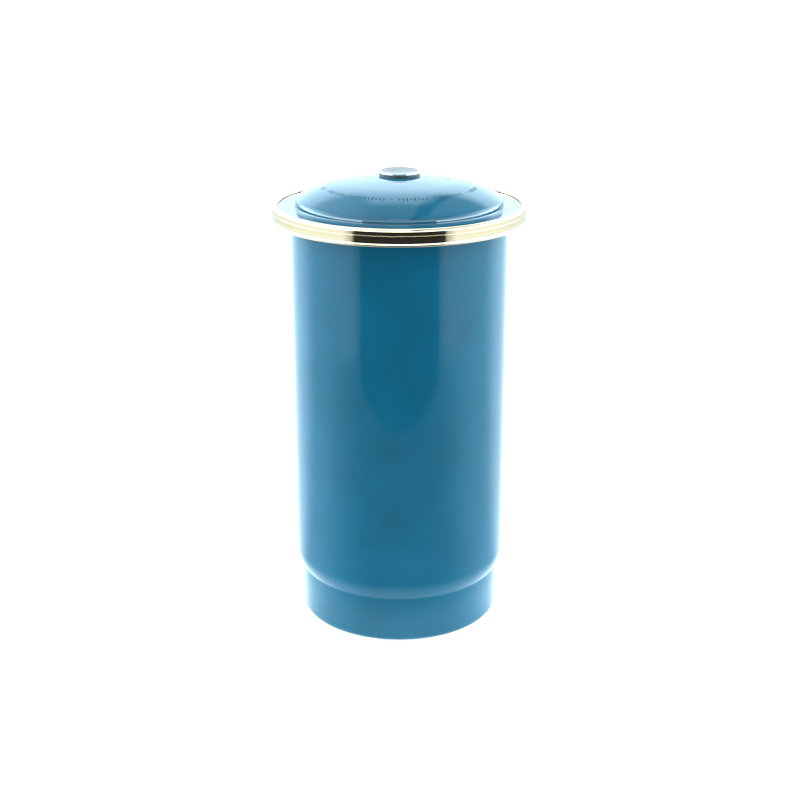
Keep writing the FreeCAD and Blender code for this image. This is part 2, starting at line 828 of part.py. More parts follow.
def basket_sleeve():
    """Guide sleeve up the middle of the basket, with a flange under its floor."""
    flange = SLEEVE_RADIUS + size("sleeve_flange")
    corners = [
        (PAST_TUBE, SLEEVE_BOTTOM, None),
        (flange, SLEEVE_BOTTOM, None),
        (flange, BASKET_BOTTOM, None),
        (SLEEVE_RADIUS, BASKET_BOTTOM, None),
        (SLEEVE_RADIUS, SLEEVE_TOP, None),
        (PAST_TUBE, SLEEVE_TOP, None),
    ]
    return turned("basket_sleeve", corners)


def spreader_plate():
    """Perforated cover that sits on the basket's rim and sinks a little into it."""
    turn = size("spreader_turn")
    bend_radius = size("spreader_bend")
    thick = size("spreader_sheet")
    basket_bore = BASKET_RADIUS - size("basket_sheet")
    bend_rise = bend_radius - bend_radius * cosine(turn)
    slope_run = (size("spreader_sink") - bend_rise * 2) / sine(turn) * cosine(turn)
    step_run = bend_radius * sine(turn) * 2 + slope_run
    path = SheetPath(FERRULE_RADIUS + size("swage_gap"), SPREADER_BOTTOM, 0)
    path.out_to(basket_bore - size("spreader_gap") - step_run)
    path.bend(bend_radius, turn)
    path.up_to(BASKET_TOP - bend_rise)
    path.bend(bend_radius, turn * -1)
    path.out_to(BASKET_RADIUS + size("basket_roll") * 2 + size("basket_sheet"))
    body = turned("spreader_plate", path.outline(thick))
    first = FERRULE_RADIUS + size("ferrule_flange") + size("hole_from_flange") + size("hole_radius")
    last = basket_bore - size("spreader_gap") - step_run - size("hole_from_bend") - size("hole_radius")
    perforate(body, "spreader_hole", first, last, SPREADER_BOTTOM, thick)
    return body


def spreader_ferrule():
    """Eyelet in the middle of the spreader, which guides it on the tube and lifts it off."""
    top = SPREADER_TOP + size("ferrule_height")
    flange = FERRULE_RADIUS + size("ferrule_flange")
    flange_top = SPREADER_TOP + size("ferrule_sheet")
    corners = [
        (PAST_TUBE, FERRULE_BOTTOM, None),
        (FERRULE_RADIUS, FERRULE_BOTTOM, None),
        (FERRULE_RADIUS, SPREADER_TOP, None),
        (flange, SPREADER_TOP, None),
        (flange, flange_top, None),
        (FERRULE_RADIUS, flange_top, None),
        (FERRULE_RADIUS, top, None),
        (PAST_TUBE, top, None),
    ]
    return turned("spreader_ferrule", corners)


def check(built):
    """Stop where any object failed or a sub-part is not one valid solid."""
    for thing in doc.Objects:
        if "Invalid" in thing.State or "Error" in thing.State:
            raise RuntimeError("%s failed: %s" % (thing.Label, thing.State))
    for piece in built:
        shape = piece.Shape
        if shape.isNull() or not shape.isValid() or len(shape.Solids) != 1:
            raise RuntimeError("%s is not one valid solid" % piece.Label)


def export(built):
    os.makedirs("parts", exist_ok=True)
    for piece in built:
        piece.Shape.exportStep("parts/%s.step" % piece.Label)
        print("%-18s %9.1f mm3" % (piece.Label, piece.Shape.Volume))


for make in (vessel_can, mouth_band, lid_dome, lid_band, lid_collar, lid_gasket, knob_cap, knob_grommet,
             knob_stud, knob_washer, knob_nut, pump_tube, pump_bell, valve_cage, valve_seat, valve_disc,
             basket_stop, basket_cup, basket_sleeve, spreader_plate, spreader_ferrule):
    make()
doc.recompute()
check(pieces)
export(pieces)
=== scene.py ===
"""Looks of the enamelled coffee percolator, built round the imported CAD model.

Metres, +Z up, with the can standing on z = 0 and every turned piece centred on the Z axis.
"""
import math

import bmesh
import bpy
import numpy as np
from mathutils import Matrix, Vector


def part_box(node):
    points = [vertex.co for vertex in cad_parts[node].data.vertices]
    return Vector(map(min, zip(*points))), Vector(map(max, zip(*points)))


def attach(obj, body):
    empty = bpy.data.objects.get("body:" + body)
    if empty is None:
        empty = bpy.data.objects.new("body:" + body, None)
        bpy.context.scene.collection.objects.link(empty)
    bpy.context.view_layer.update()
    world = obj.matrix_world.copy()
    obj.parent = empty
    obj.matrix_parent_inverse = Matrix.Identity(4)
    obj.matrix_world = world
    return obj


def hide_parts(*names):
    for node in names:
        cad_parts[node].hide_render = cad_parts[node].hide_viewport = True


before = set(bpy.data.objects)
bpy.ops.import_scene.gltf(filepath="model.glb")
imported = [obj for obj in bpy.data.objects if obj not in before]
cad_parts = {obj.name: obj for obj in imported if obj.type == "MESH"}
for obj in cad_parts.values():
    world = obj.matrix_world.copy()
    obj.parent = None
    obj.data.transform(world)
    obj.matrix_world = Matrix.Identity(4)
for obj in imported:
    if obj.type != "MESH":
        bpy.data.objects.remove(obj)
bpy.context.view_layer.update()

MM = 0.001
FINE = 288          # faces round a large turned piece
COARSE = 128        # faces round the knob
ARC_STEP = 5.0      # degrees between points of an arc in a section
NEAR_BEND = 0.2     # mm from a bend to the ring of points that keeps the flat beside it flat
LONG_STEP = 9.0     # mm between rings of points on a long straight


# ---- places read from the frame, in millimetres ----

def low(node):
    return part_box(node)[0].z / MM


def high(node):
    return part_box(node)[1].z / MM


def half_width(node):
    """Outside radius of a turned node."""
    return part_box(node)[1].x / MM


LID_SEAT = low("lid_band")
LID_TOP = high("lid_band")
MOUTH = high("vessel_can")
BEAD_FOOT = low("mouth_band")
BAND_RADIUS = half_width("mouth_band")
KNOB_TOP = high("knob_cap")
KNOB_SEAT = low("knob_cap")
KNOB_RADIUS = half_width("knob_cap")
KNOB_RING_RADIUS = half_width("knob_grommet")
MOUTH_SEAL_RADIUS = half_width("lid_gasket")

# ---- sizes of bends and sheets that no box shows, in millimetres ----

BODY_RADIUS = 50.0
WALL = 1.0
BASE_RECESS = 0.8
RECESS_BEND = 1.6
FOOT_CORNER = 2.5
FOOT_HEIGHT = 22.0
NECK_FILLET = 1.8
SHOULDER_RADIUS = 16.0
SHOULDER_ANGLE = 30.0
FLANGE_BEND = 1.5
HEM_BEND = 0.4
REST_RING = 5.0
BAND_SHEET = 0.6
TIGHT_CORNER = 0.15     # outside radius of the bands' corners at the parting
BEAD_PROUD = 0.2        # mm that the bead stands out from the wall above it
BAND_LIP = 4.3
BEAD_BEND = 0.3
BEAD_LEG = 0.5
BAND_TOP_CORNER = 1.3
BAND_INNER_CORNER = 0.8
LID_BAND_WIDTH = 2.3
CLAD_GAP = 0.1
LID_SHEET = 0.8
DOME_HEIGHT = 14.2
DOME_SETBACK = 0.7
CROWN_RADIUS = 180.0
DOME_SHOULDER_ANGLE = 35.0
DOME_EDGE_RADIUS = 3.5
DOME_WALL_ANGLE = 85.0
DOME_WALL = 0.58
DOME_ROOT = 1.5
STUD_HOLE = 2.2
VENT_PLACE = (22.0, -6.0)
VENT_RADIUS = 0.6
KNOB_RIM = 0.8          # width of the flat rim round the dish
POLISH_AND_SHADE_FADE = 0.3       # width over which the rim's polish fades into the dish's dullness and painted shade
DISH_RADIUS = 110.0
DISH_DEPTH = 0.45
KNOB_EDGE = 0.22
RING_RECESS = 5.2       # radius of the recess in the knob's ring, and its depth
RING_RECESS_DEPTH = 0.6
RING_EDGE = 0.1
COLLAR_SHEET = 0.6
COLLAR_GAP = 0.4
COLLAR_BEND = 0.8
LEAD_ANGLE = 15.0
LEAD_RADIUS = 3.0
LEAD_LENGTH = 1.5
COLLAR_DEPTH = 11.5
SEAL_WIDTH = 2.2
HEM_PAST_BEAD = 0.3     # mm that the can's hem stands above the end of the bead's leg
RIM_BEND = 0.2
BAND_OVER_TROUGH = 0.05
TROUGH_FLOOR = LID_SEAT + COLLAR_SHEET + LID_SHEET
DOME_TOP = TROUGH_FLOOR + DOME_HEIGHT
CLAD_RADIUS = BAND_RADIUS - BAND_SHEET - CLAD_GAP
BEAD_LEVEL = BEAD_FOOT + BEAD_BEND + BAND_SHEET


def dome_form():
    """Reach of the dome's crown and radius of its shoulder, two arcs that meet without a crease.

    Together they span what the dome's width and height leave above its edge, its short wall and
    its root.
    """
    lean = math.radians(DOME_SHOULDER_ANGLE)
    steep = math.radians(DOME_WALL_ANGLE)
    run = DOME_EDGE_RADIUS * (math.sin(steep) - math.sin(lean)) + DOME_WALL * math.cos(steep)
    fall = DOME_EDGE_RADIUS * (math.cos(lean) - math.cos(steep)) + DOME_WALL * math.sin(steep)
    span = BODY_RADIUS - DOME_SETBACK - run - DOME_ROOT * math.sin(steep)
    drop = DOME_HEIGHT - fall - DOME_ROOT * (1 - math.cos(steep))
    below = CROWN_RADIUS - drop
    excess = CROWN_RADIUS ** 2 - span ** 2 - below ** 2
    shoulder = excess / (2 * (CROWN_RADIUS - span * math.sin(lean) - below * math.cos(lean)))
    slope = (span - shoulder * math.sin(lean)) / (CROWN_RADIUS - shoulder)
    return CROWN_RADIUS * slope, shoulder


CROWN_REACH, DOME_SHOULDER_RADIUS = dome_form()


# ---- sections ----

class Walk:
    """One face of a bent sheet in section, as dense points with the heading at each.

    Straights and tangent bends follow one another; the heading is in degrees from the outward
    radius towards +Z, and a positive turn is to the left.
    """

    def __init__(self, radius, height, heading):
        self.points = [(radius, height)]
        self.headings = [heading]
        self.folds = []

    def _step(self, radius, height, heading):
        self.points.append((radius, height))
        self.headings.append(heading)

    def straight(self, length):
        (radius, height), heading = self.points[-1], self.headings[-1]
        margin = min(NEAR_BEND, length / 3)
        inner = np.linspace(margin, length - margin, max(2, int(length / LONG_STEP) + 1))
        for along in [*inner, length]:
            self._step(radius + along * math.cos(math.radians(heading)),
                       height + along * math.sin(math.radians(heading)), heading)
        return self

    def bend(self, radius_of_bend, turn):
        (radius, height), heading = self.points[-1], self.headings[-1]
        side = math.copysign(1.0, turn)
        centre = (radius - side * radius_of_bend * math.sin(math.radians(heading)),
                  height + side * radius_of_bend * math.cos(math.radians(heading)))
        for part in np.linspace(0, 1, max(3, int(abs(turn) / ARC_STEP) + 2))[1:]:
            ahead = math.radians(heading + turn * part)
            self._step(centre[0] + side * radius_of_bend * math.sin(ahead),
                       centre[1] - side * radius_of_bend * math.cos(ahead), heading + turn * part)
        return self

    def fold(self, outer_radius):
        """A quarter turn to the left, tight on the walked face and sharp on the other."""
        self.folds.append((len(self.points) - 1, outer_radius))
        return self.bend(outer_radius, 90)

    def out_to(self, radius):
        return self.straight((radius - self.points[-1][0]) / math.cos(math.radians(self.headings[-1])))

    def up_to(self, height):
        return self.straight((height - self.points[-1][1]) / math.sin(math.radians(self.headings[-1])))

    def sheet(self, thickness):
        """Closed section of the sheet and, for each point, 0 on the walked face and 1 on the other.

        The other face lies at the thickness along the left-hand normal (-sin, cos) of each heading,
        with a sharp corner inside each fold, and free edges off the axis are rounded by half circles.
        """
        near = np.array(self.points)
        angle = np.radians(self.headings)
        normal = np.stack([-np.sin(angle), np.cos(angle)], axis=1)
        far = near + thickness * normal
        for first, radius in self.folds:
            last = first + np.flatnonzero(angle[first:] == angle[first] + math.pi / 2)[0]
            along = near[first] - near[first - 1]
            corner = near[first] + radius * along / np.linalg.norm(along)
            far[first:last + 1] = corner + thickness * (normal[first] + normal[last])
        loop = [near]
        flag = [np.zeros(len(near))]
        for end, there, back in ((-1, near, far), (0, far, near)):
            if near[end][0] > 1e-9:
                middle = (near[end] + far[end]) / 2
                spread = (there[end] - middle)
                outward = np.array([math.cos(angle[end]), math.sin(angle[end])]) * (1 if end else -1)
                turn = np.radians(np.arange(30, 180, 30))[:, None]
                cap = middle + np.cos(turn) * spread + np.sin(turn) * outward * abs(thickness) / 2
                loop.append(cap)
                flag.append(np.linspace(0, 1, len(cap)) if end else np.linspace(1, 0, len(cap)))
            if end:
                loop.append(far[::-1])
                flag.append(np.ones(len(far)))
        loop, flag = np.concatenate(loop), np.concatenate(flag)
        apart = np.linalg.norm(loop - np.roll(loop, 1, 0), axis=1) > 1e-6
        return loop[apart], flag[apart]


def rounded(corners, radius, step=22.5):
    """A polygon whose corners off the axis are rounded by tangent arcs of one radius.

    Each arc takes less than half of either side that meets there.
    """
    corners = np.array(corners, float)
    out = []
    for before, here, after in zip(np.roll(corners, 1, 0), corners, np.roll(corners, -1, 0)):
        if here[0] < 1e-9:
            out.append(here)
            continue
        back = before - here
        ahead = after - here
        reach_back = np.linalg.norm(back)
        reach_ahead = np.linalg.norm(ahead)
        back /= reach_back
        ahead /= reach_ahead
        half = math.acos(np.clip(back @ ahead, -1, 1)) / 2
        most = 0.45 * min(reach_back, reach_ahead)
        run = min(radius / math.tan(half), most)
        bisector = (back + ahead) / np.linalg.norm(back + ahead)
        centre = here + bisector * run / math.cos(half)
        first = here + back * run - centre
        last = here + ahead * run - centre
        sweep = math.pi - 2 * half
        count = max(2, int(math.degrees(sweep) / step) + 1)
        for part in np.linspace(0, 1, count):
            weight_first = math.sin((1 - part) * sweep) / math.sin(sweep)
            weight_last = math.sin(part * sweep) / math.sin(sweep)
            out.append(centre + first * weight_first + last * weight_last)
    return np.array(out)


def eased(loop):
    """Points added beside each long side's ends, so that smooth shading keeps the side flat."""
    out = []
    for here, after in zip(loop, np.roll(loop, -1, 0)):
        out.append(here)
        length = np.linalg.norm(after - here)
        if length > 3 * NEAR_BEND and not (here[0] < 1e-9 and after[0] < 1e-9):
            for part in (NEAR_BEND / length, 1 - NEAR_BEND / length):
                out.append(here + (after - here) * part)
    return np.array(out)


# ---- meshes ----

def new_piece(name, mesh, material):
    mesh.materials.append(material)
    mesh.shade_smooth()
    piece = bpy.data.objects.new(name, mesh)
    bpy.context.scene.collection.objects.link(piece)
    return piece


def stands_for(piece, node, body):
    """The piece rides on a body and is shown in place of a CAD node."""
    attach(piece, body)
    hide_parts(node)
    return piece


def turned_mesh(name, loop, round_count, flags=None):
    """A section in millimetres turned about Z.

    Vertex (i, j) is (r_i cos a_j, r_i sin a_j, z_i), with r_i, z_i the section's points and a_j even
    steps of a full turn. A section that touches the axis at its first and last point closes in two
    poles.
    """
    loop = np.asarray(loop, float)
    ahead = np.roll(loop, -1, 0)
    if np.sum(loop[:, 0] * ahead[:, 1] - ahead[:, 0] * loop[:, 1]) < 0:
        loop = loop[::-1]
        flags = None if flags is None else flags[::-1]
    poles = loop[0][0] < 1e-9 and loop[-1][0] < 1e-9
    body = loop[1:-1] if poles else loop
    angle = np.linspace(0, 2 * math.pi, round_count, endpoint=False)
    grid = np.empty((len(body), round_count, 3))
    grid[..., 0] = body[:, :1] * np.cos(angle)
    grid[..., 1] = body[:, :1] * np.sin(angle)
    grid[..., 2] = body[:, 1:]
    rows = len(body) - 1 if poles else len(body)
    row = np.arange(rows)[:, None]
    column = np.arange(round_count)[None, :]
    right = (column + 1) % round_count
    above = (row + 1) % len(body)
    quads = np.stack([row * round_count + column, row * round_count + right,
                      above * round_count + right, above * round_count + column], axis=-1).reshape(-1, 4)
    vertices = grid.reshape(-1, 3)
    faces = quads.tolist()
    if poles:
        first_pole = len(vertices)
        vertices = np.vstack([vertices, [[0, 0, loop[0][1]], [0, 0, loop[-1][1]]]])
        ring = np.arange(round_count)
        after = (ring + 1) % round_count
        top = (len(body) - 1) * round_count
        faces += np.stack([np.full(round_count, first_pole), after, ring], axis=1).tolist()
        faces += np.stack([top + ring, top + after, np.full(round_count, first_pole + 1)], axis=1).tolist()
    mesh = bpy.data.meshes.new(name)
    mesh.from_pydata((vertices * MM).tolist(), [], faces)
    if flags is not None:
        inner = flags[1:-1] if poles else flags
        values = np.repeat(inner, round_count)
        if poles:
            values = np.append(values, [flags[0], flags[-1]])
        lining = mesh.attributes.new("lining", "FLOAT", "POINT")
        lining.data.foreach_set("value", values.astype(np.float32))
    mesh.update()
    return mesh


def turned_piece(name, node, body, material, loop, round_count=FINE, flags=None):
    piece = new_piece(name, turned_mesh(name, loop, round_count, flags), material)
    return stands_for(piece, node, body)


def smooth_copy(name, node, body, material):
    """A CAD node's own triangles, joined up and shaded smooth across every edge under 30 degrees."""
    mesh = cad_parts[node].data.copy()
    mesh.materials.clear()
    joined = bmesh.new()
    joined.from_mesh(mesh)
    bmesh.ops.remove_doubles(joined, verts=joined.verts, dist=1e-6)
    joined.to_mesh(mesh)
    joined.free()
    piece = new_piece(name, mesh, material)
    mesh.set_sharp_from_angle(angle=math.radians(30))
    return stands_for(piece, node, body)


# ---- materials ----

def linear(hex_colour):
    """sRGB hex as linear RGB with alpha 1."""
    values = [int(hex_colour[i:i + 2], 16) / 255 for i in (1, 3, 5)]
    return [v / 12.92 if v <= 0.04045 else ((v + 0.055) / 1.055) ** 2.4 for v in values] + [1.0]


def add_node(tree, kind, links=None, **settings):
    """A node of this kind; settings set its properties or its sockets, links feed its sockets."""
    node = tree.nodes.new(kind)
    for key, value in settings.items():
        if hasattr(node, key):
            setattr(node, key, value)
        else:
            node.inputs[key.replace("_", " ")].default_value = value
    for key, source in (links or {}).items():
        tree.links.new(source, node.inputs[key])
    return node


def new_material(name):
    """An empty material with its shader and its output."""
    material = bpy.data.materials.new(name)
    material.use_nodes = True
    tree = material.node_tree
    tree.nodes.clear()
    shader = add_node(tree, "ShaderNodeBsdfPrincipled")
    add_node(tree, "ShaderNodeOutputMaterial", {"Surface": shader.outputs[0]})
    return material, tree, shader


def place(tree):
    """Object coordinates in metres."""
    return add_node(tree, "ShaderNodeTexCoord").outputs["Object"]


def per_mm(millimetres):
    """Texture scale whose features are about this far apart."""
    return 1 / (millimetres * MM)


def noise(tree, vector, feature_mm, detail=2.0):
    node = add_node(tree, "ShaderNodeTexNoise", {"Vector": vector}, Scale=per_mm(feature_mm), Detail=detail)
    return node.outputs[0]


def ramp(tree, factor, stops):
    """A colour ramp through (position, hex colour) stops."""
    node = add_node(tree, "ShaderNodeValToRGB", {"Fac": factor})
    while len(node.color_ramp.elements) < len(stops):
        node.color_ramp.elements.new(0.5)
    for element, (position, colour) in zip(node.color_ramp.elements, stops):
        element.position = position
        element.color = linear(colour)
    return node.outputs["Color"]


def span(tree, factor, low_value, high_value):
    """The factor's 0 to 1 stretched to a range."""
    node = add_node(tree, "ShaderNodeMapRange", {"Value": factor}, To_Min=low_value, To_Max=high_value)
    return node.outputs[0]


def smooth_between(tree, value, start, end, low_value=0.0, high_value=1.0):
    """low_value before start, high_value after end, eased between; start may be the larger."""
    node = add_node(tree, "ShaderNodeMapRange", {"Value": value}, interpolation_type="SMOOTHSTEP",
                    From_Min=start, From_Max=end, To_Min=low_value, To_Max=high_value)
    return node.outputs[0]


def blend(tree, factor, first, second):
    """Two numbers blended by a factor; each of them is a socket or a plain number."""
    node = add_node(tree, "ShaderNodeMix", {"Factor": factor})
    for socket, value in ((node.inputs[2], first), (node.inputs[3], second)):
        if isinstance(value, (int, float)):
            socket.default_value = value
        else:
            tree.links.new(value, socket)
    return node.outputs[0]


def mix(tree, factor, first, second):
    """Two colours mixed by a factor."""
    node = add_node(tree, "ShaderNodeMix", data_type="RGBA")
    tree.links.new(factor, node.inputs[0])
    tree.links.new(first, node.inputs[6])
    tree.links.new(second, node.inputs[7])
    return node.outputs[2]


def worked(tree, operation, first, second=None):
    """One step of arithmetic on one or two sockets."""
    links = {0: first} if second is None else {0: first, 1: second}
    return add_node(tree, "ShaderNodeMath", links, operation=operation).outputs[0]


def from_axis(tree, vector):
    """Distance from the Z axis, and the three parts of the vector."""
    split = add_node(tree, "ShaderNodeSeparateXYZ", {"Vector": vector}).outputs
    flat = add_node(tree, "ShaderNodeCombineXYZ", {"X": split["X"], "Y": split["Y"]}).outputs[0]
    return add_node(tree, "ShaderNodeVectorMath", {0: flat}, operation="LENGTH").outputs["Value"], split


def bump(tree, shader, height, depth_mm, strength=1.0):
    node = add_node(tree, "ShaderNodeBump", {"Height": height}, Strength=strength, Distance=depth_mm * MM)
    tree.links.new(node.outputs[0], shader.inputs["Normal"])


def lathe_lines(tree, spacing_mm):
    """Fine rings left by spinning: noise that varies with distance from the axis and with height only."""
    radius, split = from_axis(tree, place(tree))
    turned = add_node(tree, "ShaderNodeCombineXYZ", {"X": radius, "Z": split["Z"]})
    return noise(tree, turned.outputs[0], spacing_mm, 4.0)


def vitreous_enamel(name, deep, full, lining=None, lining_light=None, matt=False):
    """Glass enamel fired on steel: a deep even colour under a wet gloss.

    The colour drifts a little with the thickness of the coat, and the fired glass keeps a faint
    long wave and a finer orange peel. The fired glass bends light more than a paint, which gives
    the white sheen along the edges. Inside it is a specked lining. A matt mark is printed on it
    and hardly shines.
    """
    roughness = (0.3, 0.4) if matt else (0.02, 0.06)
    material, tree, shader = new_material(name)
    where = place(tree)
    drift = noise(tree, where, 26.0, 3.0)
    colour = ramp(tree, drift, [(0.3, deep), (0.7, full)])
    if lining:
        speck = noise(tree, where, 1.6, 1.0)
        inside = ramp(tree, speck, [(0.30, lining_light), (0.36, lining)])
        side = add_node(tree, "ShaderNodeAttribute", attribute_name="lining").outputs["Fac"]
        colour = mix(tree, side, colour, inside)
    tree.links.new(colour, shader.inputs["Base Color"])
    gloss = noise(tree, where, 9.0, 3.0)
    tree.links.new(span(tree, gloss, *roughness), shader.inputs["Roughness"])
    shader.inputs["IOR"].default_value = 1.33 if matt else 1.55
    shader.inputs["Specular IOR Level"].default_value = 0.2 if matt else 0.5
    wave = noise(tree, where, 14.0, 1.0)
    peel = noise(tree, where, 2.2, 1.0)
    both = add_node(tree, "ShaderNodeMath", {0: peel, 2: wave}, operation="MULTIPLY_ADD")
    both.inputs[1].default_value = 0.06
    bump(tree, shader, both.outputs[0], 0.03, 0.5)
    return material


def spun_metal(name, dark, light, rough, spacing_mm, depth_mm, wear_mm=7.0):
    """Metal spun on a lathe: fine rings, with patches a little duller from handling."""
    material, tree, shader = new_material(name)
    rings = lathe_lines(tree, spacing_mm)
    patches = noise(tree, place(tree), wear_mm, 4.0)
    tree.links.new(ramp(tree, rings, [(0.35, dark), (0.65, light)]), shader.inputs["Base Color"])
    shader.inputs["Metallic"].default_value = 1.0
    tree.links.new(span(tree, patches, rough[0], rough[1]), shader.inputs["Roughness"])
    bump(tree, shader, rings, depth_mm, 0.4)
    return material


def dished_steel():
    """Turned steel of the knob: a dull dish with fine rings, painted a darker grey as shade, inside a bright
    polished rim.
    """
    material, tree, shader = new_material("turned_knob_steel")
    rings = lathe_lines(tree, 0.35)
    radius, _ = from_axis(tree, place(tree))
    dish_edge = KNOB_RADIUS - KNOB_RIM
    rim = smooth_between(tree, radius, (dish_edge - POLISH_AND_SHADE_FADE) * MM, dish_edge * MM)
    # Painted shade: the dish gets a dark grey well below the steel's own colour; its dullness is the rough
    # finish, and the rim keeps the polished steel's light grey.
    dish_painted_shade_tone = ramp(tree, rings, [(0.35, "#67625F"), (0.65, "#736E6B")])
    rim_tone = ramp(tree, rings, [(0.35, "#D8DADE"), (0.65, "#E6E7EA")])
    tree.links.new(mix(tree, rim, dish_painted_shade_tone, rim_tone), shader.inputs["Base Color"])
    shader.inputs["Metallic"].default_value = 1.0
    handled = noise(tree, place(tree), 5.0, 4.0)
    tree.links.new(blend(tree, rim, span(tree, handled, 0.34, 0.5), span(tree, handled, 0.08, 0.14)),
                   shader.inputs["Roughness"])
    bump(tree, shader, rings, 0.01, 0.4)
    return material


def moulded_rubber(name):
    """Heat-proof rubber: black, dull, with the fine grain of its mould."""
    material, tree, shader = new_material(name)
    grain = noise(tree, place(tree), 0.4, 3.0)
    tree.links.new(ramp(tree, grain, [(0.3, "#26292C"), (0.7, "#33373B")]), shader.inputs["Base Color"])
    tree.links.new(span(tree, grain, 0.42, 0.6), shader.inputs["Roughness"])
    shader.inputs["IOR"].default_value = 1.5
    bump(tree, shader, grain, 0.02, 0.4)
    return material


TEAL_DEEP = "#115065"
TEAL_FULL = "#12586F"
CREAM = "#E9E3D2"
CREAM_SPECK = "#8C8676"

enamel = vitreous_enamel("teal_vitreous_enamel", TEAL_DEEP, TEAL_FULL, CREAM, CREAM_SPECK)
enamel_mark = vitreous_enamel("dark_teal_enamel_mark", "#0A3444", "#0C3B4D", matt=True)
brass = spun_metal("polished_brass", "#FFDCB0", "#FFE6BE", (0.04, 0.09), 0.5, 0.004)
knob_steel = dished_steel()
stainless = spun_metal("pressed_stainless_steel", "#85858A", "#96969A", (0.16, 0.3), 0.4, 0.01)
aluminium = spun_metal("spun_aluminium", "#8C8E92", "#9C9EA2", (0.24, 0.38), 0.5, 0.015)
rubber = moulded_rubber("black_moulded_rubber")


# ---- can ----

def vessel_can():
    """Recessed base, corner, foot, concave and convex neck, straight wall, flange and hem."""
    recess_turn = math.degrees(math.acos(1 - BASE_RECESS / (2 * RECESS_BEND)))
    foot_radius = BODY_RADIUS - (SHOULDER_RADIUS + NECK_FILLET) * (1 - math.cos(math.radians(SHOULDER_ANGLE)))
    ring_outer = foot_radius - FOOT_CORNER
    walk = Walk(0, BASE_RECESS, 0)
    walk.out_to(ring_outer - REST_RING - 2 * RECESS_BEND * math.sin(math.radians(recess_turn)))
    walk.bend(RECESS_BEND, -recess_turn).bend(RECESS_BEND, recess_turn)
    walk.out_to(ring_outer).bend(FOOT_CORNER, 90)
    walk.up_to(FOOT_HEIGHT).bend(NECK_FILLET, -SHOULDER_ANGLE).bend(SHOULDER_RADIUS, SHOULDER_ANGLE)
    walk.up_to(MOUTH - WALL - FLANGE_BEND).bend(FLANGE_BEND, -90)
    walk.out_to(CLAD_RADIUS - WALL - HEM_BEND).bend(HEM_BEND, -90)
    walk.up_to(low("vessel_can") + BEAD_LEVEL + BEAD_LEG + WALL / 2 + HEM_PAST_BEAD)
    loop, flags = walk.sheet(WALL)
    return turned_piece("enamelled_can", "vessel_can", "vessel", enamel, loop, flags=flags)


def mouth_band():
    """Brass lip, wall and the bead curled under it; the bead stands a hair proud of the wall."""
    roll = BEAD_BEND + BAND_SHEET
    centre = np.array([BAND_RADIUS - roll, BEAD_LEVEL])
    wall = BAND_RADIUS - BEAD_PROUD
    start = math.acos((wall - centre[0]) / roll)
    inner = BAND_RADIUS - BAND_LIP
    around_bead = np.linspace(start, -math.pi, 20)[:, None]
    back = np.linspace(-math.pi, 0, 8)[:, None]
    leg = centre + [[-roll, BEAD_LEG], [-BEAD_BEND, BEAD_LEG]]
    loop = np.vstack([
        rounded([(inner, MOUTH), (inner, LID_SEAT), (wall, LID_SEAT), (wall, MOUTH)], TIGHT_CORNER)[:-4],
        centre + roll * np.hstack([np.cos(around_bead), np.sin(around_bead)]),
        leg,
        centre + BEAD_BEND * np.hstack([np.cos(back), np.sin(back)]),
        [(BAND_RADIUS - BAND_SHEET, MOUTH)]])
    return turned_piece("mouth_band_brass", "mouth_band", "vessel", brass, eased(loop))


# ---- lid ----

def dome_height(radius):
    """Height of the dome's crown and shoulder at a distance from the axis, both arcs of circles."""
    radius = np.asarray(radius, float)
    crown_angle = math.asin(CROWN_REACH / CROWN_RADIUS)
    centre_radius = CROWN_REACH - DOME_SHOULDER_RADIUS * math.sin(crown_angle)
    centre_height = DOME_TOP - CROWN_RADIUS + (CROWN_RADIUS - DOME_SHOULDER_RADIUS) * math.cos(crown_angle)
    crown = DOME_TOP - CROWN_RADIUS + np.sqrt(CROWN_RADIUS ** 2 - radius ** 2)
    run = np.clip(radius - centre_radius, 0, DOME_SHOULDER_RADIUS)
    shoulder = centre_height + np.sqrt(DOME_SHOULDER_RADIUS ** 2 - run ** 2)
    return np.where(radius <= CROWN_REACH, crown, shoulder)


def lid_dome():
    """Crown, shoulder, edge, trough and turned-up rim, with the vent drilled through the crown."""
    start = math.degrees(math.asin(STUD_HOLE / CROWN_RADIUS))
    crown = math.degrees(math.asin(CROWN_REACH / CROWN_RADIUS))
    walk = Walk(STUD_HOLE, float(dome_height(STUD_HOLE)), -start)
    for bend_radius, turn, parts in ((CROWN_RADIUS, start - crown, 6),
                                     (DOME_SHOULDER_RADIUS, crown - DOME_SHOULDER_ANGLE, 2)):
        for _ in range(parts):
            walk.bend(bend_radius, turn / parts)
    walk.bend(DOME_EDGE_RADIUS, DOME_SHOULDER_ANGLE - DOME_WALL_ANGLE)
    walk.straight(DOME_WALL).bend(DOME_ROOT, DOME_WALL_ANGLE)
    walk.out_to(CLAD_RADIUS - LID_SHEET - RIM_BEND).bend(RIM_BEND, 90)
    loop, flags = walk.sheet(-LID_SHEET)
    mesh = turned_mesh("enamelled_lid", loop, FINE, flags)
    piece = new_piece("enamelled_lid", mesh, enamel)
    drill_vent(piece)
    return stands_for(piece, "lid_dome", "lid")


def drill_vent(piece):
    """A vertical pin-hole through the dome, cut by an exact boolean that is then made part of the mesh."""
    place_of_vent = Vector((*VENT_PLACE, DOME_TOP - 1)) * MM
    bpy.ops.mesh.primitive_cylinder_add(vertices=24, radius=VENT_RADIUS * MM, depth=8 * MM,
                                        location=place_of_vent)
    cutter = bpy.context.object
    cut = piece.modifiers.new("vent", "BOOLEAN")
    cut.operation = "DIFFERENCE"
    cut.solver = "EXACT"
    cut.object = cutter
    evaluated = piece.evaluated_get(bpy.context.evaluated_depsgraph_get())
    drilled = bpy.data.meshes.new_from_object(evaluated)
    piece.modifiers.clear()
    piece.data = drilled
    bpy.data.objects.remove(cutter)


